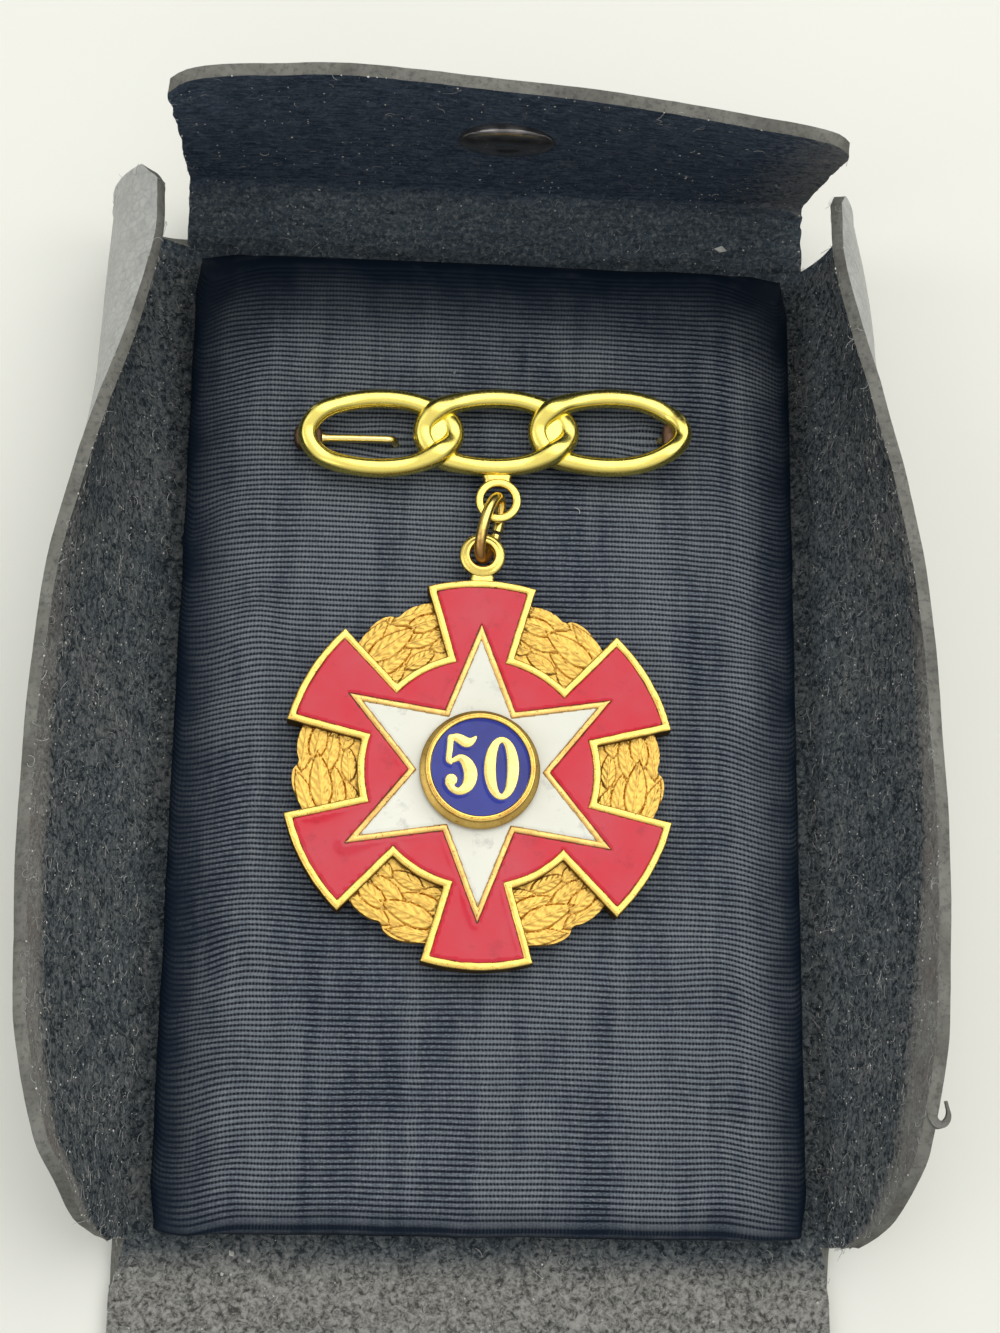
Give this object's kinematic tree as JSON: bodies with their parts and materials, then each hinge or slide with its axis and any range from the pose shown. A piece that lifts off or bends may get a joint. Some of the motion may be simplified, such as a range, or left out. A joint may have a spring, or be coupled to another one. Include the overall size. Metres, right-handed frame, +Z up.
{
  "type": "lapel pin in a folding leather case",
  "caption": "Enamelled pendant on a jump ring below a bar of interlocked links, pinned to the cloth pad of an open folding leather case with a press stud.",
  "frame": {"origin": "centre of the leather base's flat underside", "axes": "+Y along the case's length towards the flap with the press-stud socket, +X to the right as the pin is read, +Z up out of the pad"},
  "size_m": [0.0829, 0.2092, 0.034],
  "materials": {
    "leather": "black grained leather, fuzzy charcoal flesh side inside, grey cut edges",
    "cloth": "navy-black ribbed moire cloth",
    "dark_metal": "black lacquered press stud",
    "gilt": "worn polished gilt brass, matt ochre in the wreath",
    "red_enamel": "glossy translucent crimson enamel",
    "white_enamel": "glossy white enamel with grey smudges",
    "blue_enamel": "glossy royal blue enamel"
  },
  "bodies": {
    "root": {"case_shell": "leather", "pad": "cloth", "snap_socket": "dark_metal", "snap_cap": "dark_metal", "snap_stud": "dark_metal", "stud_cap": "dark_metal", "link_bar": "gilt", "pin_stem": "gilt", "jump_ring": "gilt", "pendant_body": "gilt", "enamel_red": "red_enamel", "enamel_white": "white_enamel", "medallion": "gilt", "enamel_blue": "blue_enamel", "enamel_blue_counter": "blue_enamel"}
  },
  "joints": []
}
